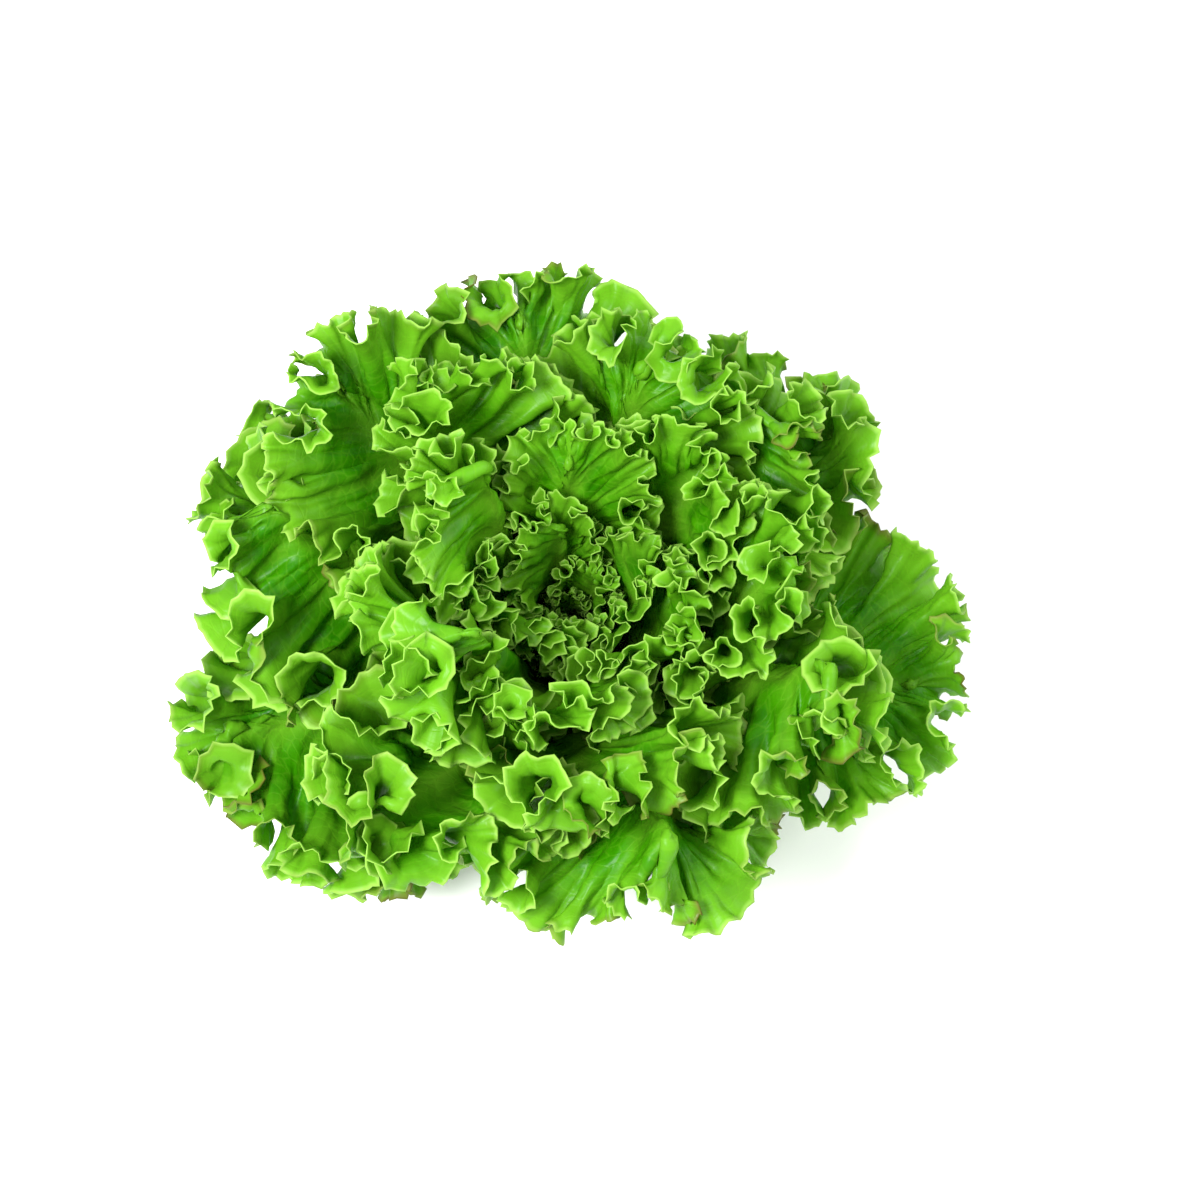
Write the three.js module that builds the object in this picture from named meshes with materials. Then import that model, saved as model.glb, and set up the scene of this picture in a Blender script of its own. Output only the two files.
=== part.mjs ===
// A head of frilled loose-leaf lettuce, cut through its stem and standing on the cut face.
// A short tapered stem carries twenty-seven separate leaves on a golden-angle spiral: old
// leaves spread low and wide, young ones stand steeply round an open heart.
// Units are millimetres, +Z is up, and the origin is the centre of the stem's cut face.

import * as THREE from "three";

const { degToRad, lerp } = THREE.MathUtils;

// --- Driving dimensions -------------------------------------------------------------------

// The whorls, oldest first. Each leaf is one node, so the counts add up to the leaf count.
const WHORLS = [
  { name: "outer_leaf", count: 12, colour: 0x5f9f1f },
  { name: "middle_leaf", count: 9, colour: 0x74b52b },
  { name: "heart_leaf", count: 6, colour: 0x93c94a },
];
const LEAF_COUNT = WHORLS.reduce((sum, whorl) => sum + whorl.count, 0);

// The spiral on which the leaves grow.
const GOLDEN_ANGLE = degToRad(137.508);
const FIRST_AZIMUTH = degToRad(218);

// The stem, a blunt cone on its flat cut face.
const STEM_FOOT_RADIUS = 15.5;
const STEM_TOP_RADIUS = 3;
const STEM_HEIGHT = 42;
const STEM_BEVEL = 1.5;
const STEM_SIDES = 24;
const STEM_COLOUR = 0xc9d49a;

// Where the oldest and the youngest leaf join the stem, above its foot and below its top, and
// how far their bases stay off it.
const LOWEST_JOINT = 5;
const HIGHEST_JOINT = STEM_HEIGHT - 5;
const JOINT_CLEARANCE = 0.6;

// How steeply a leaf leaves the stem and how steeply its tip points, oldest to youngest.
const BASE_PITCH = [degToRad(42), degToRad(86)];
const TIP_PITCH = [degToRad(0), degToRad(80)];
const PITCH_BEND = 1.2;

// Leaf lengths along the midrib: the oldest leaf, the longest and the youngest.
const OLDEST_LENGTH = 154;
const LONGEST_LENGTH = 168;
const YOUNGEST_LENGTH = 48;
const LONGEST_AGE = 0.28;

// The head is a little oval, as leaves that point to the front and back are shorter, and
// lopsided, as they are longest on one side. No two leaves are quite alike, so length and
// place on the spiral vary from leaf to leaf.
const OVALITY = 0.03;
const LOPSIDEDNESS = 0.07;
const LONGER_SIDE = degToRad(165);
const LENGTH_VARIATION = 0.05;
const AZIMUTH_VARIATION = degToRad(8);

// Half widths of the flat blade, and the arc of the stem that a leaf's base clasps.
const WIDEST_HALF_WIDTH = 52;
const YOUNGEST_HALF_WIDTH = 18;
const CLASP_ANGLE = degToRad(36);

// The flat outline of half a blade, from its base to its tip: shares of half width and length.
const OUTLINE = [
  [0.3, 0.16],
  [0.72, 0.4],
  [1, 0.66],
  [0.7, 0.93],
];
const VEIN_START = 0.86;
const VEIN_SWEEP = 1.3;

// Thickness of the blade and of the midrib at its base, and the air between two leaves.
// The blade never takes more than a share of the free space, and the midrib spreads over a
// share of the base's half width.
const BLADE_THICKNESS = 1.1;
const BLADE_SHARE = 0.4;
const MIDRIB_THICKNESS = 4.5;
const RIB_SPREAD = 0.5;
const LEAF_CLEARANCE = 0.7;

// The frilled margin: the height of its waves, their length, and how they fade inwards.
const FRILL_HEIGHT = 8;
const FRILL_LENGTH = 34;
const FRILL_FADE = 1.8;

// How finely a leaf is divided: along its midrib, round its margin and from midrib to margin.
// The young leaves wrap closely round each other, so they have more rows across the blade.
const PROFILE_STEPS = 48;
const MARGIN_STEPS = 28;
const YOUNG_MARGIN_STEPS = 20;
const ROWS = [0, 0.36, 0.7, 1];
const YOUNG_ROWS = [0, 0.17, 0.34, 0.51, 0.68, 0.84, 1];

// --- The rule that every leaf follows ------------------------------------------------------

// The stem's radius at a height above the cut face.
function stemRadius(height) {
  return lerp(STEM_FOOT_RADIUS, STEM_TOP_RADIUS, height / STEM_HEIGHT);
}

// A steady variation from -1 to 1 that is different for each leaf and each salt.
function vary(index, salt) {
  return Math.sin(index * salt + salt);
}

// A leaf's length at an age, where 0 is the oldest leaf and 1 the youngest.
function leafLength(age) {
  if (age < LONGEST_AGE) {
    const youth = 1 - age / LONGEST_AGE;
    return lerp(LONGEST_LENGTH, OLDEST_LENGTH, youth ** 2);
  }
  const past = (age - LONGEST_AGE) / (1 - LONGEST_AGE);
  return lerp(LONGEST_LENGTH, YOUNGEST_LENGTH, past ** 2.4);
}

// The midrib in the plane of the stem's axis: its radius, height and pitch at each step.
function traceMidrib(age, length) {
  const height = lerp(LOWEST_JOINT, HIGHEST_JOINT, age);
  const basePitch = lerp(...BASE_PITCH, age ** 0.65);
  const tipPitch = lerp(...TIP_PITCH, age ** 0.8);
  const step = length / PROFILE_STEPS;
  const points = [];
  let r = stemRadius(height) + JOINT_CLEARANCE;
  let z = height;
  for (let i = 0; i <= PROFILE_STEPS; i += 1) {
    const pitch = lerp(basePitch, tipPitch, (i / PROFILE_STEPS) ** PITCH_BEND);
    points.push({ r, z, pitch });
    r += step * Math.cos(pitch);
    z += step * Math.sin(pitch);
  }
  return points;
}

// One half of the flat outline as a curve from the base to the tip.
function halfOutline(baseHalfWidth, halfWidth, length) {
  const points = [
    new THREE.Vector3(baseHalfWidth, 0, 0),
    ...OUTLINE.map(([x, y]) => new THREE.Vector3(Math.max(x * halfWidth, baseHalfWidth), y * length, 0)),
    new THREE.Vector3(0, length, 0),
  ];
  return new THREE.CatmullRomCurve3(points);
}

function growLeaf(index) {
  const age = index / (LEAF_COUNT - 1);
  const azimuth = FIRST_AZIMUTH + index * GOLDEN_ANGLE + AZIMUTH_VARIATION * vary(index, 5.1);
  const oval = 1 - OVALITY * Math.sin(azimuth) ** 2;
  const side = 1 + LOPSIDEDNESS * Math.cos(azimuth - LONGER_SIDE);
  const length = leafLength(age) * oval * side * (1 + LENGTH_VARIATION * vary(index, 3.7));
  const midrib = traceMidrib(age, length);
  const halfWidth = lerp(WIDEST_HALF_WIDTH, YOUNGEST_HALF_WIDTH, age ** 1.5);
  const outline = halfOutline(CLASP_ANGLE * midrib[0].r, halfWidth, length);
  return { index, length, midrib, outline, azimuth };
}

// The midrib's radius, height and pitch at a distance along it.
function alongMidrib(leaf, distance) {
  const place = THREE.MathUtils.clamp(distance / leaf.length, 0, 1) * PROFILE_STEPS;
  const i = Math.min(Math.floor(place), PROFILE_STEPS - 1);
  const [a, b] = [leaf.midrib[i], leaf.midrib[i + 1]];
  const f = place - i;
  return { r: lerp(a.r, b.r, f), z: lerp(a.z, b.z, f), pitch: lerp(a.pitch, b.pitch, f) };
}

// The angle round the stem that half a blade covers at each step of its midrib.
function halfAngles(leaf) {
  const widths = new Array(PROFILE_STEPS + 1).fill(0);
  for (const point of leaf.outline.getSpacedPoints(4 * PROFILE_STEPS)) {
    const i = Math.round((point.y / leaf.length) * PROFILE_STEPS);
    widths[i] = Math.max(widths[i], point.x);
  }
  return widths.map((width, i) => width / leaf.midrib[i].r);
}

// The free space at each step of a leaf's midrib line: the distance to the nearest leaf
// that covers any of the same angle round the stem.
function freeSpace(leaf, leaves) {
  const turn = 2 * Math.PI;
  return leaf.midrib.map((point, i) => {
    let space = Infinity;
    for (const other of leaves) {
      if (other === leaf) continue;
      const apart = Math.abs(other.azimuth - leaf.azimuth) % turn;
      const gap = Math.min(apart, turn - apart);
      other.midrib.forEach((place, j) => {
        if (gap > leaf.halfAngles[i] + other.halfAngles[j]) return;
        space = Math.min(space, Math.hypot(place.r - point.r, place.z - point.z));
      });
    }
    return space;
  });
}

// --- From the rule to solids ---------------------------------------------------------------

// The flat blade at a place round its margin (-1 and 1 are the base, 0 the tip) and a share
// of the way along the vein from the midrib to the margin.
function flatPoint(leaf, place, share) {
  const fromBase = 1 - Math.abs(place);
  const edge = leaf.outline.getPointAt(fromBase);
  const start = VEIN_START * leaf.length * fromBase ** VEIN_SWEEP;
  return { x: Math.sign(place) * edge.x * share, y: lerp(start, edge.y, share) };
}

// The free space and the blade's thickness there at a distance along the midrib.
function roomAt(leaf, y) {
  const space = leaf.space[Math.round((y / leaf.length) * PROFILE_STEPS)];
  return { space, blade: Math.min(BLADE_THICKNESS, BLADE_SHARE * space) };
}

// How far the frill lifts the blade: waves round the margin that fade towards the midrib
// and never use more than the free space round the leaf.
function frill(leaf, place, share, y) {
  const { space, blade } = roomAt(leaf, y);
  const room = Math.max(0, (space - blade - LEAF_CLEARANCE) / 2);
  const height = Math.min(FRILL_HEIGHT * (y / leaf.length), room);
  const waves = leaf.outline.getLength() / FRILL_LENGTH;
  return height * share ** FRILL_FADE * Math.sin(2 * Math.PI * waves * place + leaf.index);
}

// The blade's thickness: a midrib that tapers towards the tip and sideways into the blade.
function thickness(leaf, x, y) {
  const { space, blade } = roomAt(leaf, y);
  const rib = Math.max(0, Math.min(MIDRIB_THICKNESS, space - LEAF_CLEARANCE) - blade);
  const sideways = x / (RIB_SPREAD * leaf.outline.getPointAt(0).x);
  return blade + rib * (1 - y / leaf.length) * Math.exp(-(sideways ** 2));
}

// A blade point in space: the front lies on the rule's surface, the back a thickness below.
function bladePoint(leaf, place, share, isBack) {
  const { x, y } = flatPoint(leaf, place, share);
  const { r, z, pitch } = alongMidrib(leaf, y);
  const angle = leaf.azimuth + x / r;
  const lift = frill(leaf, place, share, y) - (isBack ? thickness(leaf, x, y) : 0);
  const reach = r - lift * Math.sin(pitch);
  return [reach * Math.cos(angle), reach * Math.sin(angle), z + lift * Math.cos(pitch)];
}

// A closed leaf: a front and a back sheet that share one grid, joined round their edge.
// Its columns run from the midrib to the margin, so column j and its mirror image start at
// the same point of the midrib.
function leafGeometry(leaf, marginSteps, rows) {
  const positions = [];
  const sheets = [false, true].map((isBack) => {
    const columns = [];
    for (let j = 0; j <= marginSteps; j += 1) {
      const place = (2 * j) / marginSteps - 1;
      const mirrored = columns[marginSteps - j];
      columns.push(
        rows.map((share, row) => {
          if (row === 0 && mirrored) return mirrored[0];
          positions.push(...bladePoint(leaf, place, share, isBack));
          return positions.length / 3 - 1;
        }),
      );
    }
    return columns;
  });

  const index = [];
  const quad = (a, b, c, d) => index.push(a, b, c, a, c, d);
  const [front, back] = sheets;
  const last = rows.length - 1;
  for (let j = 0; j < marginSteps; j += 1) {
    for (let i = 0; i < last; i += 1) {
      quad(front[j][i], front[j][i + 1], front[j + 1][i + 1], front[j + 1][i]);
      quad(back[j][i], back[j + 1][i], back[j + 1][i + 1], back[j][i + 1]);
    }
    quad(front[j][last], back[j][last], back[j + 1][last], front[j + 1][last]);
  }
  for (let i = 0; i < last; i += 1) {
    quad(front[0][i], back[0][i], back[0][i + 1], front[0][i + 1]);
    const [f, b] = [front[marginSteps], back[marginSteps]];
    quad(f[i + 1], b[i + 1], b[i], f[i]);
  }

  const geometry = new THREE.BufferGeometry();
  geometry.setAttribute("position", new THREE.Float32BufferAttribute(positions, 3));
  geometry.setIndex(index);
  geometry.computeVertexNormals();
  return geometry;
}

function makeStem() {
  const profile = [
    new THREE.Vector2(0, 0),
    new THREE.Vector2(STEM_FOOT_RADIUS - STEM_BEVEL, 0),
    new THREE.Vector2(stemRadius(STEM_BEVEL), STEM_BEVEL),
    new THREE.Vector2(stemRadius(STEM_HEIGHT / 2), STEM_HEIGHT / 2),
    new THREE.Vector2(STEM_TOP_RADIUS, STEM_HEIGHT),
    new THREE.Vector2(0, STEM_HEIGHT + STEM_TOP_RADIUS / 2),
  ];
  const geometry = new THREE.LatheGeometry(profile, STEM_SIDES).rotateX(Math.PI / 2);
  const material = new THREE.MeshStandardMaterial({ color: STEM_COLOUR, roughness: 0.5, metalness: 0 });
  const stem = new THREE.Mesh(geometry, material);
  stem.name = "stem";
  return stem;
}

function makeHead() {
  const head = new THREE.Group();
  head.add(makeStem());

  const leaves = Array.from({ length: LEAF_COUNT }, (_, index) => growLeaf(index));
  for (const leaf of leaves) leaf.halfAngles = halfAngles(leaf);
  for (const leaf of leaves) leaf.space = freeSpace(leaf, leaves);

  let next = 0;
  for (const whorl of WHORLS) {
    const material = new THREE.MeshStandardMaterial({
      color: whorl.colour,
      roughness: 0.45,
      metalness: 0,
    });
    const isHeart = whorl === WHORLS.at(-1);
    const steps = isHeart ? YOUNG_MARGIN_STEPS : MARGIN_STEPS;
    const rows = isHeart ? YOUNG_ROWS : ROWS;
    for (let i = 1; i <= whorl.count; i += 1) {
      const mesh = new THREE.Mesh(leafGeometry(leaves[next], steps, rows), material);
      mesh.name = `${whorl.name}_${String(i).padStart(2, "0")}`;
      head.add(mesh);
      next += 1;
    }
  }
  return head;
}

export default makeHead();
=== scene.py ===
"""Head of frilled loose-leaf lettuce, grown leaf by leaf round its cut stem.

Each leaf starts as a smooth blade on the packed model's own rule and then grows: its margin
gets several times longer than its midrib, so the blade buckles into frills, while the leaves
push each other aside. The grown blades get veins, blisters, a toothed rim and a thickness.
"""

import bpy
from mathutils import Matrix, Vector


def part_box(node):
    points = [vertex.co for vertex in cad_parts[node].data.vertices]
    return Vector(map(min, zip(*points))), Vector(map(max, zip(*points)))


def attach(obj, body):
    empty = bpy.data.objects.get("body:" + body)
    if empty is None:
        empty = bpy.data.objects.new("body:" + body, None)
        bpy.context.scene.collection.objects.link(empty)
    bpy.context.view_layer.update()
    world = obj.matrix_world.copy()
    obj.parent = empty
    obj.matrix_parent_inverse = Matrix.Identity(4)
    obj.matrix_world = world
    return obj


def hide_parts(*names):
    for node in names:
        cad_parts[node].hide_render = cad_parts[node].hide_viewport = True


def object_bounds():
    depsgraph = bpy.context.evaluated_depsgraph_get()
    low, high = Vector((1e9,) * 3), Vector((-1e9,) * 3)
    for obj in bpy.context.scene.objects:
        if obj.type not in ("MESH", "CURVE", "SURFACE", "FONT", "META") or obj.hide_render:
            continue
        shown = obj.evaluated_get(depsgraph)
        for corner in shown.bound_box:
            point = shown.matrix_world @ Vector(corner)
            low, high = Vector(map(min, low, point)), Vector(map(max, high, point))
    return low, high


bl_info = {
    "name": "Head of lettuce",
    "version": (1, 0, 0),
    "blender": (4, 5, 0),
    "location": "3D View > Sidebar > Lettuce",
    "description": "Grows the frilled leaves of a lettuce round its stem and sets a plain stage",
    "category": "Object",
}

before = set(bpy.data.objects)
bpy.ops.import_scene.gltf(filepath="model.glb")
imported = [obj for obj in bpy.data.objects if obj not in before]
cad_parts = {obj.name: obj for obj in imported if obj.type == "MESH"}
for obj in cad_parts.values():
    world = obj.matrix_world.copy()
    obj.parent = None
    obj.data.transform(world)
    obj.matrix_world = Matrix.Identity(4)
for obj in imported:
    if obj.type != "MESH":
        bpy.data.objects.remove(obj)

import math
from functools import lru_cache, partial

import bpy
import numpy as np
from bpy.props import (
    FloatProperty,
    FloatVectorProperty,
    IntProperty,
    IntVectorProperty,
    PointerProperty,
)
from mathutils import Vector

MM = 0.001
CAD_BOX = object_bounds()
BODY = "root"

# The whorls, oldest first: each leaf node's name starts with its whorl's.
WHORLS = ("outer_leaf", "middle_leaf", "heart_leaf")
LEAF_NODES = [node for whorl in WHORLS for node in sorted(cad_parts) if node.startswith(whorl)]
LEAF_COUNT = len(LEAF_NODES)

# The flat outline of half a blade, from its base to its tip: shares of half width and length,
# and where along the midrib the vein to each place on the margin starts.
OUTLINE = ((0.3, 0.16), (0.72, 0.4), (1.0, 0.66), (0.7, 0.93))
VEIN_START = 0.86
VEIN_SWEEP = 1.3
PITCH_BEND = 1.2
BASE_PITCH_BEND = 0.65
TIP_PITCH_BEND = 0.8
LENGTH_BEND = 2.4
WIDTH_BEND = 1.5
PROFILE_STEPS = 48
# Salts that set apart how the leaves vary in azimuth and in length.
AZIMUTH_SALT = 5.1
LENGTH_SALT = 3.7

# How far a grown leaf may start from its CAD node's box before the two don't match.
RULE_TOLERANCE = 10 * MM

# The grid that each leaf grows on, and how much finer the finished blade is.
COLUMNS = 240
ROWS = 12
ROW_CROWDING = 1.15
FINE_ROWS = 19
FINE_ROW_CROWDING = 1.5
COLUMN_SPLITS = {"outer_leaf": 4, "middle_leaf": 4, "heart_leaf": 2}
UV_NAME = "leaf_flat"
UV_SPAN = 200 * MM
TOOTH_ROOT = 0.86
SKIN_SEED = 400
MERGE_DISTANCE = 0.002 * MM
TINY = 1e-12

# Wavelengths and heights of the first faint waves that growth makes into frills.
FIRST_WAVES = ((70 * MM, 0.9), (47 * MM, 1.0), (33 * MM, 1.0), (22 * MM, 0.5))
FIRST_WAVE_SHARE = 0.022
YOUNG_WAVE_LOSS = 0.6
# Wavelengths of the uneven growth along a margin, and the least and greatest height of each.
UNEVEN_WAVES = (150 * MM, 90 * MM, 60 * MM)
UNEVEN_HEIGHTS = (0.5, 1)
# How far a leaf may stray from the rule, the radius that cupping counts in, and where along the
# leaf its twist turns over.
POSTURE_SPREADS = {
    "roll": (-0.38, 0.38),
    "cup": (-0.6, 1.0),
    "curl": (-0.16, 0.16),
    "lean": (-0.16, 0.16),
    "twist": (-0.3, 0.3),
}
CUP_RADIUS = 100 * MM
CURL_BEND = 2.5
TWIST_CENTRE = 0.4
YOUNG_POSTURE_LOSS = 0.5
VIGOUR_SPREAD = (0.85, 1.15)
# The foot of a leaf stays flat this far along the margin, and then frills up over this share.
FLAT_FOOT = 0.05
FRILL_RISE = 0.3
# How firmly the midrib and the foot of a leaf keep their place, and how far that reaches.
MIDRIB_HOLD = 0.25
MIDRIB_HOLD_REACH = 0.32
MIDRIB_HOLD_BEND = 1.5
BLADE_HOLD = 0.004
FOOT_HOLD = 0.5
FOOT_HOLD_REACH = 26 * MM
# Room near the foot, and how fast it grows to the full leaf room up the blade.
FOOT_ROOM = 0.35 * MM
LEAST_ROOM = 0.5 * MM
ROOM_SLOPE = 0.03
ROOM_SKIN = 1.0 * MM
SAME_LEAF_REACH = 5.5 * MM
PUSH_SHARE = 0.45
PAIR_REFRESH = 10
FLOOR_CLEARANCE = 1.6 * MM
# How sharp a fold may get before it is pushed open, and how much of the push each side takes.
FOLD_SHARE = 0.8
VEIN_FOLD_SHARE = 0.9
OPENING_SHARE = 0.25
# The share of the steps in which the blades grow; in the rest they only come to rest.
GROWTH_TIME = 0.6
LENGTH_ROUNDS = 2

# Veins, ribs and the frill's finest relief on the finished blade.
VEINS_A_SIDE = 9
VEIN_HALF_WIDTH = 1.3 * MM
VEIN_NARROWEST_SHARE = 0.15
VEIN_FADE = 0.75
RIB_HALF_WIDTH = 3.6 * MM
RIB_TAPER = 1.6
RIB_END = 1.15
CLASP_LENGTH = 34 * MM
ROW_SPLITS = 8
RIM_WAVES = ((60 * MM, 0.5), (23 * MM, 0.35))
RIM_CALM_SHARE = 0.12
RIPPLE_WANDER = 2.5
RIPPLE_SWELL = (0.65, 0.35)
RIPPLE_REACH = 9
TOOTH_WANDER = 0.8
TOOTH_SHARPNESS = 1.5
TOOTH_MIDDLE = 0.4
TOOTH_UNEVENNESS = 0.35
TOOTH_UNEVEN_RATE = 0.37
# How much of the ribs, veins and blisters of the oldest leaf the youngest has.
YOUNG_RIB_SHARE = 0.3
YOUNG_BLISTER_SHARE = 0.4

# The part of a noise that is used, what it swells a blade by, and how ribs and rim thin out.
NOISE_RANGE = (0.3, 0.7)
BLISTER_SWING = (-0.5, 1.0)
RIB_THINNEST_SHARE = 0.45
RIM_THINNING = 3.0

# Sizes of the leaf's patterns on the flat blade, and how much detail each has.
PATCH_SIZE = 30 * MM
SPECK_SIZE = 7 * MM
VEIN_NET_SIZE = 4 * MM
SCORCH_SIZE = 16 * MM
GRAIN_SIZE = 1.2 * MM
TINT_SHARE = 0.12
DEEP_GREEN_RANGE = (0.78, 1.22)
NET_LINE_WIDTH = 0.09
NET_LINE_STRENGTH = 0.35
VEIN_STRENGTH = 0.55
# Where across the blade, from the midrib at 0 to the rim at 1, each tissue starts and is full.
FRILL_BAND = (0.5, 0.98)
# The rim band paints a pale line that is partly the margin's own colour and partly a painted highlight.
RIM_AND_HIGHLIGHT_BAND = (0.965, 0.99)
SCORCH_BAND = (0.93, 1.0)
SCORCH_NOISE = (0.52, 0.68)
# The most that each tissue covers of the blade's own green.
COVER = {"veins": 0.5, "frill": 0.75, "rim": 0.6, "rib": 0.9, "base": 0.9}
# Waxy skin: its gloss, its relief, and how much of a whorl's light comes through the blade.
LEAF_ROUGHNESS = (0.28, 0.42)
LEAF_IOR = 1.42
LEAF_SPECULAR = 0.22
LEAF_BUMP = 0.35
LEAF_BUMP_DEPTH = 0.25 * MM
NET_BUMP = -1.5
GLOW_TINT = 0.65
LIGHT_THROUGH = {"outer_leaf": 0.34, "middle_leaf": 0.38, "heart_leaf": 0.4}

# The packed stem: a cone that ends in a small rounded top and a bevelled foot.
STEM_TOP_RADIUS = 3 * MM
STEM_BEVEL = 1.5 * MM
STEM_SIDES = 96
STEM_RINGS = 40
STEM_WOBBLE = 0.35 * MM
STEM_FLUTES = 5
FLUTE_TURN_LENGTH = 4 * MM
SCARS = 14
SCAR_SIZE = 5.2 * MM
LOWEST_SCAR = 3.2 * MM
SCARLESS_HEIGHT = 8 * MM
# A scar pad is flat against the stem, wide round it and low.
SCAR_SHAPE = (0.14, 1.0, 0.42)
SCAR_SUBDIVISIONS = 3
# Fibres of the stem, the browned ring on its cut face and how high the cut face's colour reaches.
FIBRE_SIZE = 2.5 * MM
FIBRE_WANDER = 3 * MM
STEM_RING_PLACES = (0.62, 0.76, 0.84)
CUT_REACH = (0.4 * MM, 1.2 * MM)
STEM_ROUGHNESS = 0.42
STEM_BUMP = 0.5
STEM_BUMP_DEPTH = 0.5 * MM
STEM_SUBSURFACE = 0.25
STEM_SUBSURFACE_RADIUS = (3 * MM, 3 * MM, 1.5 * MM)

# The floor, the place and size of each soft light, and where the camera aims, off the middle.
FLOOR_HALF_WIDTH = 3.0
FLOOR_ROUGHNESS = 0.9
FLOOR_SPECULAR = 0.2
KEY_PLACE, KEY_SIZE = (-0.45, -0.35, 0.95), 0.35
FILL_PLACE, FILL_SIZE = (0.8, 0.3, 0.7), 0.8
AIM_RIGHT = 11 * MM
AIM_BACK = 10 * MM


def srgb(hex_colour):
    """A linear RGBA colour from an sRGB hex string."""
    parts = [int(hex_colour[i : i + 2], 16) / 255 for i in (0, 2, 4)]
    linear = [p / 12.92 if p <= 0.04045 else ((p + 0.055) / 1.055) ** 2.4 for p in parts]
    return (*linear, 1.0)


def number_property(name, description, value, **more):
    """A setting that holds one number, or several where its value is a tuple."""
    kind = FloatProperty
    if isinstance(value, tuple):
        kind, more = FloatVectorProperty, {"size": len(value), **more}
    return kind(name=name, description=description, default=value, **more)


def length_property(name, description, value):
    """A setting that holds one length, or several."""
    return number_property(name, description, value, unit="LENGTH")


def angle_property(name, description, degrees):
    """A setting that holds one angle, given in degrees."""
    return number_property(name, description, math.radians(degrees), subtype="ANGLE")


def colour_property(name, description, hex_colour):
    """A setting that holds a colour, given as sRGB hex."""
    return number_property(name, description, srgb(hex_colour), subtype="COLOR", min=0, max=1)


# --- Settings -------------------------------------------------------------------------------


class HabitSettings(bpy.types.PropertyGroup):
    """The rule on which the leaves stand, as the packed model has it."""

    golden_angle: angle_property("Golden angle", "Turn round the stem from one leaf to the next", 137.508)
    first_azimuth: angle_property("First azimuth", "Where the oldest leaf points", 218)
    azimuth_variation: angle_property(
        "Azimuth variation", "How far a leaf strays from its place on the spiral", 8
    )
    base_pitch: number_property(
        "Base pitch",
        "How steeply the oldest and the youngest leaf leave the stem",
        (math.radians(42), math.radians(86)),
    )
    tip_pitch: number_property(
        "Tip pitch",
        "How steeply the tips of the oldest and the youngest leaf point",
        (0.0, math.radians(80)),
    )
    oldest_length: length_property("Oldest length", "Midrib length of the oldest leaf", 154 * MM)
    longest_length: length_property("Longest length", "Midrib length of the longest leaf", 168 * MM)
    youngest_length: length_property("Youngest length", "Midrib length of the youngest leaf", 48 * MM)
    longest_age: number_property(
        "Longest age", "Age of the longest leaf, from 0, the oldest, to 1, the youngest", 0.28
    )
    ovality: number_property(
        "Ovality", "How much shorter the leaves are that point to the front and the back", 0.03
    )
    lopsidedness: number_property(
        "Lopsidedness", "How much longer the leaves are on the head's longer side", 0.07
    )
    longer_side: angle_property("Longer side", "Where the head's longer side points", 165)
    length_variation: number_property("Length variation", "How much lengths differ from the rule", 0.05)
    widest_half_width: length_property("Widest half width", "Half width of the oldest blade", 52 * MM)
    youngest_half_width: length_property("Youngest half width", "Half width of the youngest blade", 18 * MM)
    clasp_angle: angle_property("Clasp angle", "Half the arc of the stem that a leaf's base clasps", 36)
    joints: length_property(
        "Joint heights", "Where the oldest and the youngest leaf join the stem", (5 * MM, 37 * MM)
    )
    joint_clearance: length_property("Joint clearance", "Air between a leaf's base and the stem", 0.6 * MM)


class GrowthSettings(bpy.types.PropertyGroup):
    """How the blades grow, and how much room each leaf keeps."""

    seed: IntProperty(name="Seed", description="Which head this is", default=5)
    steps: IntProperty(name="Steps", description="Steps of growth", default=260)
    blade_growth: number_property(
        "Blade growth", "Extra length across the veins, spread over the blade", 2.8
    )
    blade_reach: number_property("Blade reach", "How close to the margin that growth keeps", 2.0)
    rim_growth: number_property("Rim growth", "Extra length across the veins close to the margin", 3.2)
    rim_reach: number_property("Rim reach", "How close to the margin the rim's growth keeps", 8.0)
    youth: number_property("Youth", "How much less the youngest leaf has grown than the oldest", 0.75)
    smooth_leaves: IntVectorProperty(
        name="Smooth leaves",
        description="Leaves, counted from the oldest at 0, that hardly frill",
        default=(1, 3, 9, 10),
        size=4,
    )
    smoothness: number_property("Smoothness", "How much less the smooth leaves grow than the others", 0.4)
    unevenness: number_property("Unevenness", "How unevenly the margin grows along its length", 0.22)
    stretch: number_property("Stretch", "Extra length along the veins, which the frills use up", 0.12)
    stiffness: number_property(
        "Stiffness", "How much a blade resists bending along its margin and along its veins", (0.11, 0.09)
    )
    posture: number_property("Posture", "How far the leaves roll, cup and lean away from the rule", 2.5)
    leaf_room: length_property("Leaf room", "Half the distance that two blades keep", 1.9 * MM)


class SkinSettings(bpy.types.PropertyGroup):
    """The surface and the thickness of a grown leaf."""

    blade_thickness: length_property("Blade thickness", "Thickness of the blade", 0.6 * MM)
    rim_thickness: length_property("Rim thickness", "Thickness at the margin", 0.35 * MM)
    rib_thickness: length_property("Rib thickness", "Thickness of the midrib at its base", 3.4 * MM)
    vein_thickness: length_property("Vein thickness", "How far side veins stand out of the back", 1.1 * MM)
    blister_height: length_property("Blister height", "How far the blade swells between its veins", 1.8 * MM)
    blister_size: length_property("Blister size", "How far apart the swellings are", 9 * MM)
    tooth_height: length_property("Tooth height", "How far the margin's teeth stand out", 1.9 * MM)
    tooth_spacing: length_property("Tooth spacing", "How far apart the teeth are", 5.5 * MM)
    ripple_height: length_property("Ripple height", "Height of the finest frill", 2.5 * MM)
    ripple_length: length_property("Ripple length", "Wavelength of the finest frill", 9 * MM)


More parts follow.
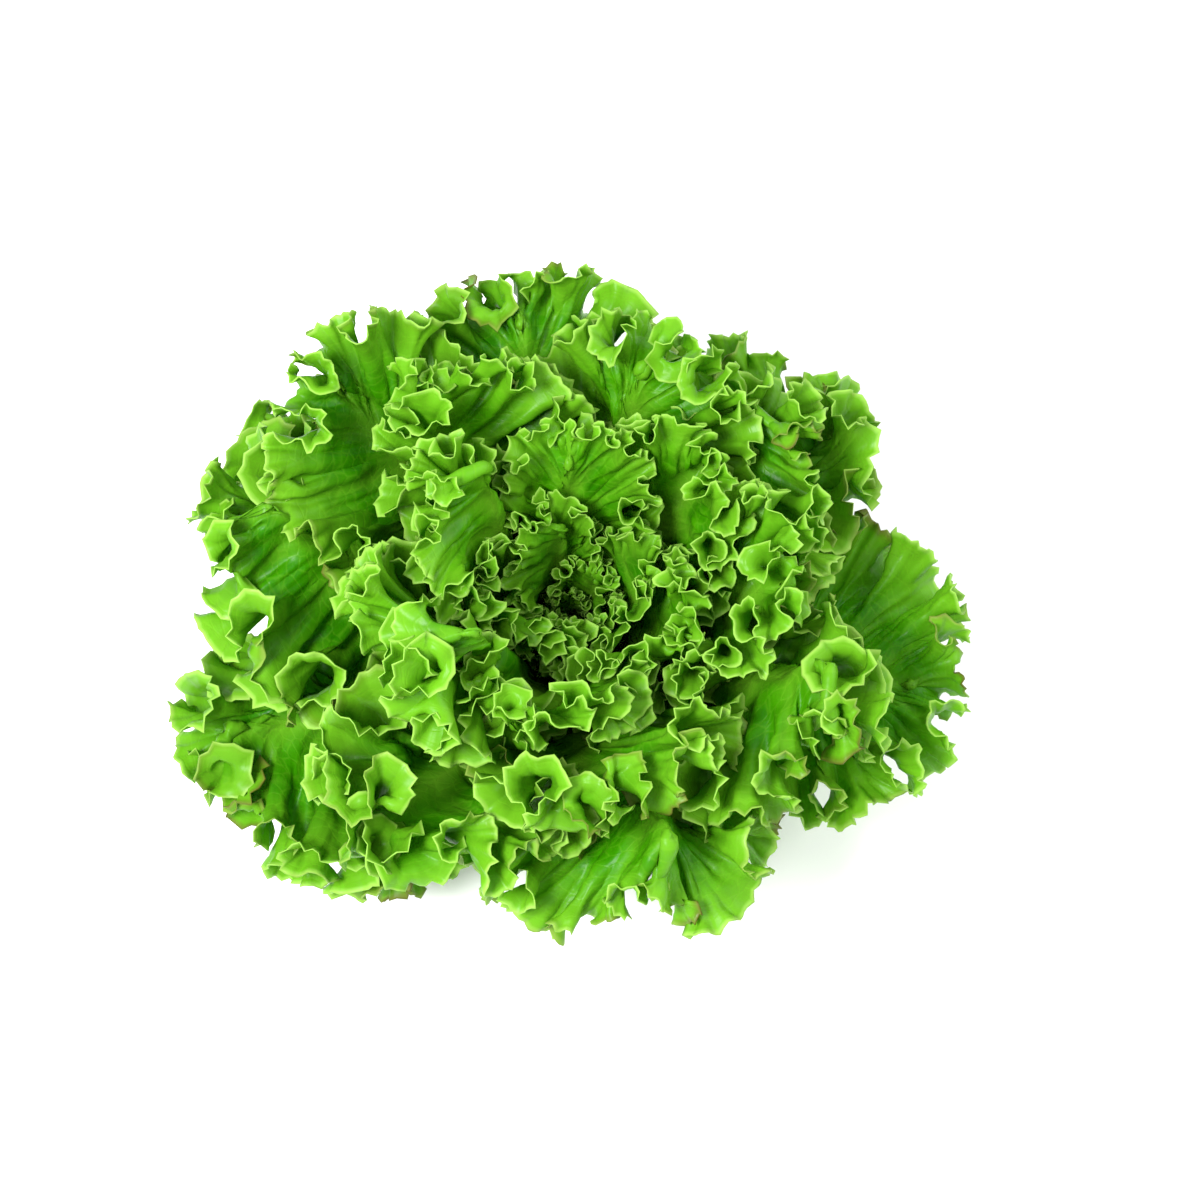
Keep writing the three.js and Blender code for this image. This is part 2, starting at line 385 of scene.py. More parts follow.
class ColourSettings(bpy.types.PropertyGroup):
    """Colours of the leaf tissue and the stem, with painted shade in the heart blade and a painted highlight
    along the rim.
    """

    outer_blade: colour_property("Outer blade", "Blade of the old leaves", "408f02")
    middle_blade: colour_property("Middle blade", "Blade of the middle leaves", "4c9f02")
    # The heart blade is painted darker than the middle blade as painted shade for the hollow heart, where
    # the leaves around it block the light.
    heart_blade_with_painted_shade: colour_property("Heart blade", "Blade of the young leaves", "459203")
    shade_blade: colour_property("Deep green", "The darker patches of a blade", "247401")
    frill: colour_property("Frill", "The lighter tissue towards the margin", "7cbc26")
    # The rim colour is partly the margin's own pale tint and partly a painted highlight, made paler than the
    # tissue.
    rim: colour_property("Rim", "The thin pale line along the margin", "b4de68")
    rib: colour_property("Rib", "Midrib and side veins", "84c22e")
    base: colour_property("Leaf base", "The watery foot of a leaf", "b9d38a")
    glow: colour_property("Glow", "Light that comes through a blade", "7ccc08")
    scorch: colour_property("Scorch", "Dry tips on the oldest margins", "5f5a1c")
    stem: colour_property("Stem", "Skin of the stem", "c9d6a0")
    stem_cut: colour_property("Stem cut", "The cut face of the stem", "dcd9b0")
    stem_ring: colour_property("Stem ring", "The browned ring of the cut face", "a8814f")


class StageSettings(bpy.types.PropertyGroup):
    """Camera, floor and light."""

    elevation: angle_property("Elevation", "How far above the horizon the camera looks down from", 68)
    distance: length_property("Distance", "From the camera to the middle of the head", 0.975)
    lens: number_property("Lens", "Focal length in millimetres", 80)
    floor_colour: colour_property("Floor", "Pale seamless floor", "fbfcfa")
    sky_strength: number_property("Sky strength", "Light from all around", 0.9)
    key_power: number_property("Key power", "Large soft light, in watts", 19)
    fill_power: number_property("Fill power", "Second soft light, in watts", 8)


SETTINGS = {
    "lettuce_habit": HabitSettings,
    "lettuce_growth": GrowthSettings,
    "lettuce_skin": SkinSettings,
    "lettuce_colours": ColourSettings,
    "lettuce_stage": StageSettings,
}


# --- The rule that every leaf follows --------------------------------------------------------


def lerp(a, b, share):
    """The value at a share of the way from a to b."""
    return a + (b - a) * share


def vary(index, salt):
    """A steady variation from -1 to 1 that is different for each leaf and each salt."""
    return math.sin(index * salt + salt)


def half_outline(base_half_width, half_width, length, samples=300):
    """Half the flat outline as points along a centripetal Catmull-Rom curve, and their distances."""
    knots = [(base_half_width, 0.0)]
    knots += [(max(x * half_width, base_half_width), y * length) for x, y in OUTLINE]
    knots += [(0.0, length)]
    knots = np.array(knots)
    padded = np.vstack([2 * knots[0] - knots[1], knots, 2 * knots[-1] - knots[-2]])
    share = np.linspace(0, 1, samples)[:, None]
    parts = []
    for before, start, end, after in zip(padded, padded[1:], padded[2:], padded[3:]):
        spans = ((before, start), (start, end), (end, after))
        gaps = [np.sum((a - b) ** 2) ** 0.25 for a, b in spans]
        first, middle, last = gaps
        leave = (start - before) / first - (end - before) / (first + middle) + (end - start) / middle
        reach = (end - start) / middle - (after - start) / (middle + last) + (after - end) / last
        leave, reach = leave * middle, reach * middle
        cubic = 2 * start - 2 * end + leave + reach
        square = -3 * start + 3 * end - 2 * leave - reach
        parts.append(start + leave * share + square * share**2 + cubic * share**3)
    curve = np.vstack(parts)
    steps = np.linalg.norm(np.diff(curve, axis=0), axis=1)
    return curve, np.concatenate([[0], np.cumsum(steps)])


class LeafRule:
    """One leaf of the head before it grows: its midrib, its outline and its place."""

    def __init__(self, index, habit):
        self.index = index
        self.age = index / (LEAF_COUNT - 1)
        self.azimuth = habit.first_azimuth + index * habit.golden_angle
        self.azimuth += habit.azimuth_variation * vary(index, AZIMUTH_SALT)
        if self.age < habit.longest_age:
            youth = 1 - self.age / habit.longest_age
            length = lerp(habit.longest_length, habit.oldest_length, youth**2)
        else:
            past = (self.age - habit.longest_age) / (1 - habit.longest_age)
            length = lerp(habit.longest_length, habit.youngest_length, past**LENGTH_BEND)
        length *= 1 - habit.ovality * math.sin(self.azimuth) ** 2
        length *= 1 + habit.lopsidedness * math.cos(self.azimuth - habit.longer_side)
        self.length = length * (1 + habit.length_variation * vary(index, LENGTH_SALT))

        height = lerp(*habit.joints, self.age)
        base_pitch = lerp(*habit.base_pitch, self.age**BASE_PITCH_BEND)
        tip_pitch = lerp(*habit.tip_pitch, self.age**TIP_PITCH_BEND)
        along = np.arange(PROFILE_STEPS + 1) / PROFILE_STEPS
        self.pitch = lerp(base_pitch, tip_pitch, along**PITCH_BEND)
        step = self.length / PROFILE_STEPS
        start = stem_radius(height) + habit.joint_clearance
        self.r = start + np.concatenate([[0], np.cumsum(step * np.cos(self.pitch))[:-1]])
        self.z = height + np.concatenate([[0], np.cumsum(step * np.sin(self.pitch))[:-1]])
        half_width = lerp(habit.widest_half_width, habit.youngest_half_width, self.age**WIDTH_BEND)
        self.curve, self.arc = half_outline(habit.clasp_angle * start, half_width, self.length)

    def flat(self, places, shares):
        """Flat points: places run round the margin (-1 and 1 are the base, 0 the tip), shares along
        the veins from the midrib to the margin."""
        from_base = 1 - np.abs(places)
        distance = from_base * self.arc[-1]
        edge_x = np.interp(distance, self.arc, self.curve[:, 0])
        edge_y = np.interp(distance, self.arc, self.curve[:, 1])
        start = VEIN_START * self.length * from_base**VEIN_SWEEP
        x = (np.sign(places) * edge_x)[:, None] * shares
        y = start[:, None] + (edge_y - start)[:, None] * shares
        return x, y

    def place(self, x, y, lift):
        """A flat point in space, lifted off the leaf's smooth surface."""
        step = np.clip(y / self.length, 0, 1) * PROFILE_STEPS
        steps = np.arange(PROFILE_STEPS + 1)
        r, z, pitch = (np.interp(step, steps, values) for values in (self.r, self.z, self.pitch))
        angle = self.azimuth + x / r
        reach = r - lift * np.sin(pitch)
        return np.stack([reach * np.cos(angle), reach * np.sin(angle), z + lift * np.cos(pitch)], -1)


def stem_radius(height):
    """The stem's radius at a height above its cut face, from the packed stem's own box."""
    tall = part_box("stem")[1].z - STEM_TOP_RADIUS / 2
    bevel = STEM_BEVEL / tall
    foot = (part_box("stem")[1].x - STEM_TOP_RADIUS * bevel) / (1 - bevel)
    return lerp(foot, STEM_TOP_RADIUS, height / tall)


# --- Growth ---------------------------------------------------------------------------------


def hold_lengths(points, rest, axis):
    """Moves neighbours along an axis of the grid towards their rest length, pair by pair."""
    last = points.shape[axis] - 1
    for first in (0, 1):
        pairs = (last - first + 1) // 2
        here, there, between = [slice(None)] * 4, [slice(None)] * 4, [slice(None)] * 3
        here[axis] = between[axis] = slice(first, first + 2 * pairs - 1, 2)
        there[axis] = slice(first + 1, first + 2 * pairs, 2)
        a, b = points[tuple(here)], points[tuple(there)]
        apart = b - a
        length = np.sqrt((apart * apart).sum(-1)) + TINY
        move = (0.5 * (1 - rest[tuple(between)] / length))[..., None] * apart
        a += move
        b -= move


def keep_open(points, rest, axis, share):
    """Pushes every other point along an axis apart where a fold gets sharper than a share allows."""
    here, there = [slice(None)] * 4, [slice(None)] * 4
    here[axis], there[axis] = slice(None, -2), slice(2, None)
    apart = points[tuple(there)] - points[tuple(here)]
    length = np.sqrt((apart * apart).sum(-1)) + TINY
    move = (OPENING_SHARE * np.minimum(0, 1 - share * rest / length))[..., None] * apart
    pushed = np.zeros_like(points)
    pushed[tuple(here)] += move
    pushed[tuple(there)] -= move
    points += pushed


def relax(points, axis, strength):
    """Bends a grid towards the mean of its neighbours along an axis, as a stiff sheet would."""
    here, before, after = [slice(None)] * 4, [slice(None)] * 4, [slice(None)] * 4
    here[axis], before[axis], after[axis] = slice(1, -1), slice(None, -2), slice(2, None)
    mean = 0.5 * (points[tuple(before)] + points[tuple(after)])
    points[tuple(here)] += strength * (mean - points[tuple(here)])


def close_pairs(points, cell):
    """Every pair of points closer than a cell, found by sorting them into cubes of that size."""
    cubes = np.floor(points / cell).astype(np.int64)
    cubes -= cubes.min(0) - 1
    size = cubes.max(0) + 3
    key = (cubes[:, 0] * size[1] + cubes[:, 1]) * size[2] + cubes[:, 2]
    order = np.argsort(key, kind="stable")
    key = key[order]
    rank = np.arange(len(points))
    half = [(x, y, z) for x in (0, 1) for y in (-1, 0, 1) for z in (-1, 0, 1) if (x, y, z) > (0, 0, 0)]
    found = [(rank + 1, np.searchsorted(key, key, side="right"))]
    for x, y, z in half:
        cube = key + (x * size[1] + y) * size[2] + z
        found.append((np.searchsorted(key, cube, side="left"), np.searchsorted(key, cube, side="right")))
    first, second = [], []
    for low, high in found:
        count = high - low
        first.append(np.repeat(rank, count))
        offset = np.arange(count.sum()) - np.repeat(np.cumsum(count) - count, count)
        second.append(np.repeat(low, count) + offset)
    a, b = order[np.concatenate(first)], order[np.concatenate(second)]
    apart = points[a] - points[b]
    near = (apart * apart).sum(1) < cell * cell
    return a[near], b[near]


def posture_of(rng):
    """How one leaf strays from the rule: how it rolls, cups, curls, leans and twists."""
    stray = {name: rng.uniform(*spread) for name, spread in POSTURE_SPREADS.items()}
    stray["cup"] /= CUP_RADIUS
    return stray


def wave_of(rng, distance, waves):
    """A sum of waves with random phases along a distance."""
    total = np.zeros_like(distance)
    for length, height in waves:
        turns = distance / (length * rng.uniform(0.9, 1.1))
        total += height * np.sin(2 * np.pi * turns + rng.uniform(0, 2 * np.pi))
    return total


@lru_cache(maxsize=1)
def grown_head():
    """Grows all the leaves at once. Returns the leaf rules, the shares of the rows and the grown
    points, one grid for each leaf."""
    scene = bpy.context.scene
    habit, growth = scene.lettuce_habit, scene.lettuce_growth
    rng = np.random.default_rng(growth.seed)
    leaves = [LeafRule(index, habit) for index in range(LEAF_COUNT)]
    shares = 1 - (1 - np.arange(ROWS + 1) / ROWS) ** ROW_CROWDING
    places = np.linspace(-1, 1, COLUMNS + 1)

    flat, start, target, uneven = [], [], [], []
    for leaf in leaves:
        x, y = leaf.flat(places, shares)
        distance = places * leaf.arc[-1]
        tame = 1 - YOUNG_WAVE_LOSS * leaf.age
        lift = FIRST_WAVE_SHARE * tame * y * shares**2 * wave_of(rng, distance, FIRST_WAVES)[:, None]
        stray = posture_of(rng)
        up = y / leaf.length
        strength = growth.posture * (1 - YOUNG_POSTURE_LOSS * leaf.age)
        turned = stray["roll"] * x * up + stray["twist"] * x * (up**2 - TWIST_CENTRE)
        bowed = stray["cup"] * x * x * up + stray["curl"] * up**CURL_BEND * leaf.length
        leant = strength * stray["lean"] * up**2 * leaf.length
        flat.append(np.stack([x, y], -1))
        start.append(leaf.place(x, y, lift))
        target.append(leaf.place(x + leant, y, lift + strength * (turned + bowed)))
        waves = [(length, rng.uniform(*UNEVEN_HEIGHTS)) for length in UNEVEN_WAVES]
        uneven.append(1 + growth.unevenness * wave_of(rng, distance, waves))
    flat, start, target = (np.array(grid, np.float32) for grid in (flat, start, target))
    check_rule(start)
    points, drift = start.copy(), target - start

    ages = np.array([leaf.age for leaf in leaves])
    vigour = (1 - growth.youth * ages**2) * rng.uniform(*VIGOUR_SPREAD, LEAF_COUNT)
    vigour[list(growth.smooth_leaves)] *= 1 - growth.smoothness
    sleeve = np.clip((1 - np.abs(places) - FLAT_FOOT) / FRILL_RISE, 0, 1)
    sleeve = sleeve * sleeve * (3 - 2 * sleeve) * np.array(uneven) * vigour[:, None]
    sleeve = 0.5 * (sleeve[:, :-1] + sleeve[:, 1:])
    profile = growth.blade_growth * shares**growth.blade_reach
    profile = profile + growth.rim_growth * shares**growth.rim_reach
    extra = (profile * sleeve[..., None]).astype(np.float32)
    flat_round = np.linalg.norm(np.diff(flat, axis=1), axis=-1).astype(np.float32)
    flat_out = np.linalg.norm(np.diff(flat, axis=2), axis=-1).astype(np.float32)

    hold = MIDRIB_HOLD * np.clip(1 - shares / MIDRIB_HOLD_REACH, 0, 1) ** MIDRIB_HOLD_BEND
    hold = hold + BLADE_HOLD * (1 - shares)
    foot = FOOT_HOLD * np.clip(1 - flat[..., 1:2] / FOOT_HOLD_REACH, 0, 1)
    hold = np.maximum(hold[:, None], foot).astype(np.float32)

    body = flat[:, ::2]
    room = np.clip(FOOT_ROOM + ROOM_SLOPE * body[..., 1], LEAST_ROOM, growth.leaf_room).reshape(-1)
    owner = np.repeat(np.arange(LEAF_COUNT), body.shape[1] * body.shape[2])
    body_flat = body.reshape(-1, 2)

    steps = growth.steps
    for step in range(steps):
        grown = min(1.0, (step + 1) / (GROWTH_TIME * steps))
        around = flat_round * (1 + grown * extra)
        outward = flat_out * (1 + grown * growth.stretch)
        for _ in range(LENGTH_ROUNDS):
            hold_lengths(points, around, 1)
            hold_lengths(points, outward, 2)
        keep_open(points, around[:, :-1] + around[:, 1:], 1, FOLD_SHARE)
        keep_open(points, outward[:, :, :-1] + outward[:, :, 1:], 2, VEIN_FOLD_SHARE)
        relax(points, 1, growth.stiffness[0])
        relax(points, 2, growth.stiffness[1])
        points[:, :, 0] = 0.5 * (points[:, :, 0] + points[:, ::-1, 0])
        points += hold * (start + grown * drift - points)

        crowd = points[:, ::2].reshape(-1, 3)
        if step % PAIR_REFRESH == 0:
            a, b = close_pairs(crowd, 2 * growth.leaf_room + ROOM_SKIN)
            need = room[a] + room[b]
            gap = np.linalg.norm(crowd[a] - crowd[b], axis=1)
            between = body_flat[a] - body_flat[b]
            neighbours = (owner[a] == owner[b]) & ((between**2).sum(1) < SAME_LEAF_REACH**2)
            keep = (gap < need + ROOM_SKIN) & ~neighbours
            a, b, need = a[keep], b[keep], need[keep]
        push_apart(points, crowd, a, b, need)
        points[..., 2] = np.maximum(points[..., 2], FLOOR_CLEARANCE)
    return leaves, shares, points


def push_apart(points, crowd, a, b, need):
    """Moves the paired points of a crowd, every other column of the leaves, out of each other."""
    apart = crowd[a] - crowd[b]
    gap = np.sqrt((apart * apart).sum(1)) + TINY
    hit = gap < need
    a, b = a[hit], b[hit]
    push = (PUSH_SHARE * (need[hit] / gap[hit] - 1))[:, None] * apart[hit]
    total = len(crowd)
    count = np.maximum(1, np.bincount(a, minlength=total) + np.bincount(b, minlength=total))
    sums = [np.bincount(a, push[:, k], total) - np.bincount(b, push[:, k], total) for k in range(3)]
    move = (np.stack(sums, -1) / count[:, None]).astype(np.float32)
    move = move.reshape(points[:, ::2].shape)
    points[:, ::2] += move
    points[:, 1::2] += 0.5 * (move[:, :-1] + move[:, 1:])


def check_rule(start):
    """Stops the script if the leaves wouldn't start where the packed leaves are."""
    for node, grid in zip(LEAF_NODES, start):
        low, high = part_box(node)
        off = max(np.abs(grid.min((0, 1)) - low).max(), np.abs(grid.max((0, 1)) - high).max())
        if off > RULE_TOLERANCE:
            raise RuntimeError(f"{node} starts {off / MM:.1f} mm away from the packed leaf")


# --- The finished blade -----------------------------------------------------------------------


def refine(grid, splits):
    """A grid with more columns, on Catmull-Rom curves through its points."""
    padded = np.concatenate([2 * grid[:1] - grid[1:2], grid, 2 * grid[-1:] - grid[-2:-1]])
    share = (np.arange(splits) / splits).reshape(1, splits, 1, 1)
    before, start = padded[:-3, None], padded[1:-2, None]
    end, after = padded[2:-1, None], padded[3:, None]
    fine = 0.5 * (
        2 * start
        + (end - before) * share
        + (2 * before - 5 * start + 4 * end - after) * share**2
        + (3 * start - before - 3 * end + after) * share**3
    )
    return np.concatenate([fine.reshape(-1, *grid.shape[1:]), grid[-1:]])


def resample_rows(grid, shares, fine_shares):
    """A grid with its rows at other shares, on Catmull-Rom curves through its points."""
    dense = refine(np.swapaxes(grid, 0, 1), ROW_SPLITS)
    at = np.interp(np.arange(len(dense)) / ROW_SPLITS, np.arange(len(shares)), shares)
    spot = np.interp(fine_shares, at, np.arange(len(dense)))
    low = np.minimum(spot.astype(int), len(dense) - 2)
    part = (spot - low)[:, None, None]
    return np.swapaxes(dense[low] * (1 - part) + dense[low + 1] * part, 0, 1)


def grid_normals(grid):
    """Unit normals of a grid, on the side that faces the heart."""
    along, out = np.gradient(grid, axis=0), np.gradient(grid, axis=1)
    normal = np.cross(out, along)
    return normal / (np.linalg.norm(normal, axis=-1, keepdims=True) + TINY)


def blade_mesh(leaf, shares, points, node, whorl, skin):
    """One grown leaf as an open sheet that carries what its skin and colours follow."""
    rng = np.random.default_rng(SKIN_SEED + leaf.index)
    splits = COLUMN_SPLITS[whorl]
    columns = COLUMNS * splits
    fine_shares = 1 - (1 - np.arange(FINE_ROWS + 1) / FINE_ROWS) ** FINE_ROW_CROWDING
    grid = resample_rows(refine(points, splits), shares, fine_shares)
    places = np.linspace(-1, 1, columns + 1)
    x, y = leaf.flat(places, fine_shares)

    margin = np.linalg.norm(np.diff(grid[:, -1], axis=0), axis=1)
    walked = np.concatenate([[0], np.cumsum(margin)])
    sleeve = np.clip((1 - np.abs(places)) / RIM_CALM_SHARE, 0, 1)
    normal = grid_normals(grid)
    wander = wave_of(rng, walked, RIM_WAVES)
    ripple = np.sin(2 * np.pi * walked / skin.ripple_length + RIPPLE_WANDER * wander)
    ripple *= (RIPPLE_SWELL[0] + RIPPLE_SWELL[1] * wander) * sleeve
    grid += skin.ripple_height * (ripple[:, None] * fine_shares**RIPPLE_REACH)[..., None] * normal

    outward = grid[:, -1] - grid[:, -3]
    outward /= np.linalg.norm(outward, axis=-1, keepdims=True) + TINY
    turns = walked / skin.tooth_spacing + TOOTH_WANDER * wander
    tooth = np.abs(2 * (turns % 1) - 1) ** TOOTH_SHARPNESS
    tooth = tooth + TOOTH_UNEVENNESS * np.sin(2 * np.pi * turns * TOOTH_UNEVEN_RATE)
    reach = np.clip((fine_shares - TOOTH_ROOT) / (1 - TOOTH_ROOT), 0, 1) ** TOOTH_SHARPNESS
    push = skin.tooth_height * (tooth - TOOTH_MIDDLE) * sleeve
    grid += (push[:, None] * reach)[..., None] * outward[:, None]

    spacing = 1 / VEINS_A_SIDE
    beside = np.abs((np.abs(places) / spacing + 0.5) % 1 - 0.5) * spacing * leaf.arc[-1]
    spread = np.maximum(fine_shares, VEIN_NARROWEST_SHARE)
    vein = np.exp(-((beside[:, None] * spread / VEIN_HALF_WIDTH) ** 2))
    vein *= 1 - VEIN_FADE * fine_shares**2
    up = y / leaf.length
    rib = np.exp(-((x / (RIB_HALF_WIDTH * (RIB_TAPER - up))) ** 2)) * np.clip(RIB_END - up, 0, 1)
    clasp = np.clip(1 - y / CLASP_LENGTH, 0, 1)

    count = grid.shape[0] * grid.shape[1]
    index = np.arange(count).reshape(grid.shape[:2])
    for column in range(columns // 2):
        index[columns - column, 0] = index[column, 0]
    corners = np.stack([index[:-1, :-1], index[:-1, 1:], index[1:, 1:], index[1:, :-1]], -1)
    corners = corners.reshape(-1, 4)
    used, corners = np.unique(corners, return_inverse=True)
    corners = corners.reshape(-1, 4)

    mesh = bpy.data.meshes.new(node + "_blade")
    mesh.from_pydata(grid.reshape(-1, 3)[used].tolist(), [], corners.tolist())
    values = {
        "rim": np.broadcast_to(fine_shares, x.shape),
        "vein": vein,
        "rib": rib,
        "clasp": clasp,
        "tint": np.full(x.shape, rng.uniform(-1, 1)),
    }
    for name, field in values.items():
        layer = mesh.attributes.new(name, "FLOAT", "POINT")
        field = np.ascontiguousarray(field).reshape(-1)[used]
        layer.data.foreach_set("value", field.astype(np.float32))
    flat = np.stack([x / UV_SPAN + 0.5, y / UV_SPAN], -1).reshape(-1, 2)[used][corners.reshape(-1)]
    uv = mesh.uv_layers.new(name=UV_NAME)
    uv.data.foreach_set("uv", flat.astype(np.float32).reshape(-1))
    mesh.validate()
    mesh.update()
    return mesh


# --- Node trees ---------------------------------------------------------------------------------


# The inputs of a Map Range node in order: the value, its range and what that becomes.
MAP_RANGE = ("Value", 1, 2, 3, 4)


def add_node(tree, kind, inputs=None, output=0, **settings):
    """Adds a node to a tree with its settings, sets or links its inputs by name or number, and
    returns the one of its outputs that is asked for, or the node if it has none."""
    node = tree.nodes.new(kind)
    for name, value in settings.items():
        setattr(node, name, value)
    for key, value in (inputs or {}).items():
        if isinstance(value, bpy.types.NodeSocket):
            tree.links.new(value, node.inputs[key])
        else:
            node.inputs[key].default_value = value
    return node.outputs[output] if node.outputs else node


def add_sockets(tree, measures, whole_number):
    """Gives a tree geometry in and out, inputs for its measures and one whole number, a material."""
    kinds = {"Geometry": "Geometry", **dict.fromkeys(measures, "Float")}
    kinds |= {whole_number: "Int", "Material": "Material"}
    for name, kind in kinds.items():
        tree.interface.new_socket(name, in_out="INPUT", socket_type="NodeSocket" + kind)
    tree.interface.new_socket("Geometry", in_out="OUTPUT", socket_type="NodeSocketGeometry")


def leaf_skin_tree():
    """Turns an open leaf sheet into a closed leaf: blisters between the veins, grooves along them,
    and a thickness that is greatest at the ribs and least at the rim."""
    tree = bpy.data.node_groups.new("leaf_skin", "GeometryNodeTree")
    add = partial(add_node, tree)
    thicknesses = ("Blade Thickness", "Rim Thickness", "Rib Thickness", "Vein Thickness")
    add_sockets(tree, (*thicknesses, "Blister Height", "Blister Size"), "Seed")
    given = add("NodeGroupInput").node.outputs

    read = {
        name: add("GeometryNodeInputNamedAttribute", {"Name": name}, output="Attribute")
        for name in ("rim", "vein", "rib", "clasp")
    }
    normal = add("GeometryNodeInputNormal")

    # Blisters follow the leaf's place in space, fade towards the rib and sink along the veins.
    frequency = add("ShaderNodeMath", {0: 1.0, 1: given["Blister Size"]}, operation="DIVIDE")
    swell = add(
        "ShaderNodeTexNoise",
        {"W": given["Seed"], "Scale": frequency, "Detail": 2.0, "Roughness": 0.45},
        noise_dimensions="4D",
    )
    raised = add("ShaderNodeMapRange", dict(zip(MAP_RANGE, (swell, *NOISE_RANGE, *BLISTER_SWING))))
    calm = add("ShaderNodeMath", {0: 1.0, 1: read["rib"]}, operation="SUBTRACT")
    relief = add("ShaderNodeMath", {0: raised, 1: calm}, operation="MULTIPLY")
    relief = add("ShaderNodeMath", {0: relief, 1: given["Blister Height"]}, operation="MULTIPLY")
    groove = add("ShaderNodeMath", {0: read["vein"], 1: given["Blister Height"]}, operation="MULTIPLY")
    height = add("ShaderNodeMath", {0: relief, 1: groove}, operation="SUBTRACT")
    lifted = add("ShaderNodeVectorMath", {0: normal, 3: height}, operation="SCALE")
    front = add("GeometryNodeSetPosition", {"Geometry": given["Geometry"], "Offset": lifted})

    # Thickness: the blade thins towards the rim, and ribs and veins add to it at the back.
    edge = add("ShaderNodeMath", {0: read["rim"], 1: RIM_THINNING}, operation="POWER")
    sheet = add(
        "ShaderNodeMapRange", {"Value": edge, 3: given["Blade Thickness"], 4: given["Rim Thickness"]}
    )
    foot = add("ShaderNodeMapRange", {"Value": read["clasp"], 3: RIB_THINNEST_SHARE, 4: 1.0})
    rib = add("ShaderNodeMath", {0: read["rib"], 1: foot}, operation="MULTIPLY")
    rib = add("ShaderNodeMath", {0: rib, 1: given["Rib Thickness"], 2: sheet}, operation="MULTIPLY_ADD")
    thick = add(
        "ShaderNodeMath",
        {0: read["vein"], 1: given["Vein Thickness"], 2: rib},
        operation="MULTIPLY_ADD",
    )
    inward = add("ShaderNodeMath", {0: thick, 1: -1.0}, operation="MULTIPLY")
    backwards = add("ShaderNodeVectorMath", {0: normal, 3: inward}, operation="SCALE")
    grown = add(
        "GeometryNodeExtrudeMesh",
        {"Mesh": front, "Offset": backwards, "Offset Scale": 1.0, "Individual": False},
        mode="FACES",
    )
    face = add("GeometryNodeFlipFaces", {"Mesh": front})
    shell = add("GeometryNodeJoinGeometry")
    tree.links.new(face, shell.node.inputs["Geometry"])
    tree.links.new(grown, shell.node.inputs["Geometry"])
    merged = add("GeometryNodeMergeByDistance", {"Geometry": shell, "Distance": MERGE_DISTANCE})
    outward = add("GeometryNodeFlipFaces", {"Mesh": merged})
    smooth = add("GeometryNodeSetShadeSmooth", {"Geometry": outward})
    real = add("GeometryNodeRealizeInstances", {"Geometry": smooth})
    painted = add("GeometryNodeSetMaterial", {"Geometry": real, "Material": given["Material"]})
    add("NodeGroupOutput", {"Geometry": painted})
    return tree


def stem_scars_tree():
    """Sets a scar pad on the stem at each place on the spiral where a leaf has been broken off."""
    tree = bpy.data.node_groups.new("stem_scars", "GeometryNodeTree")
    add = partial(add_node, tree)
    add_sockets(tree, ("Turn", "Lowest", "Rise", "Foot Radius", "Slope", "Scar Size"), "Scars")
    given = add("NodeGroupInput").node.outputs

    line = add("GeometryNodeMeshLine", {"Count": given["Scars"], "Offset": (0, 0, 0)}, mode="OFFSET")
    rank = add("GeometryNodeInputIndex")
    angle = add("ShaderNodeMath", {0: rank, 1: given["Turn"]}, operation="MULTIPLY")
    height = add(
        "ShaderNodeMath", {0: rank, 1: given["Rise"], 2: given["Lowest"]}, operation="MULTIPLY_ADD"
    )
    taper = add("ShaderNodeMath", {0: height, 1: given["Slope"]}, operation="MULTIPLY")
    radius = add("ShaderNodeMath", {0: given["Foot Radius"], 1: taper}, operation="SUBTRACT")
    cosine = add("ShaderNodeMath", {0: angle}, operation="COSINE")
    sine = add("ShaderNodeMath", {0: angle}, operation="SINE")
    x = add("ShaderNodeMath", {0: cosine, 1: radius}, operation="MULTIPLY")
    y = add("ShaderNodeMath", {0: sine, 1: radius}, operation="MULTIPLY")
    spot = add("ShaderNodeCombineXYZ", {"X": x, "Y": y, "Z": height})
    placed = add("GeometryNodeSetPosition", {"Geometry": line, "Position": spot})
    turned = add("ShaderNodeCombineXYZ", {"Z": angle})
    pad = add(
        "GeometryNodeMeshIcoSphere", {"Radius": given["Scar Size"], "Subdivisions": SCAR_SUBDIVISIONS}
    )
    scars = add(
        "GeometryNodeInstanceOnPoints",
        {"Points": placed, "Instance": pad, "Rotation": turned, "Scale": SCAR_SHAPE},
    )
    both = add("GeometryNodeJoinGeometry")
    tree.links.new(given["Geometry"], both.node.inputs["Geometry"])
    tree.links.new(scars, both.node.inputs["Geometry"])
    real = add("GeometryNodeRealizeInstances", {"Geometry": both})
    smooth = add("GeometryNodeSetShadeSmooth", {"Geometry": real})
    painted = add("GeometryNodeSetMaterial", {"Geometry": smooth, "Material": given["Material"]})
    add("NodeGroupOutput", {"Geometry": painted})
    return tree


def run_tree(obj, tree, inputs):
    """Runs a geometry tree on an object with the given inputs and keeps the result as its mesh."""
    modifier = obj.modifiers.new(tree.name, "NODES")
    modifier.node_group = tree
    for item in tree.interface.items_tree:
        if item.in_out == "INPUT" and item.name in inputs:
            modifier[item.identifier] = inputs[item.name]
    bpy.context.view_layer.update()
    depsgraph = bpy.context.evaluated_depsgraph_get()
    made = bpy.data.meshes.new_from_object(obj.evaluated_get(depsgraph))
    obj.modifiers.clear()
    raw, obj.data = obj.data, made
    made.name = raw.name
    bpy.data.meshes.remove(raw)


# --- Materials ------------------------------------------------------------------------------------


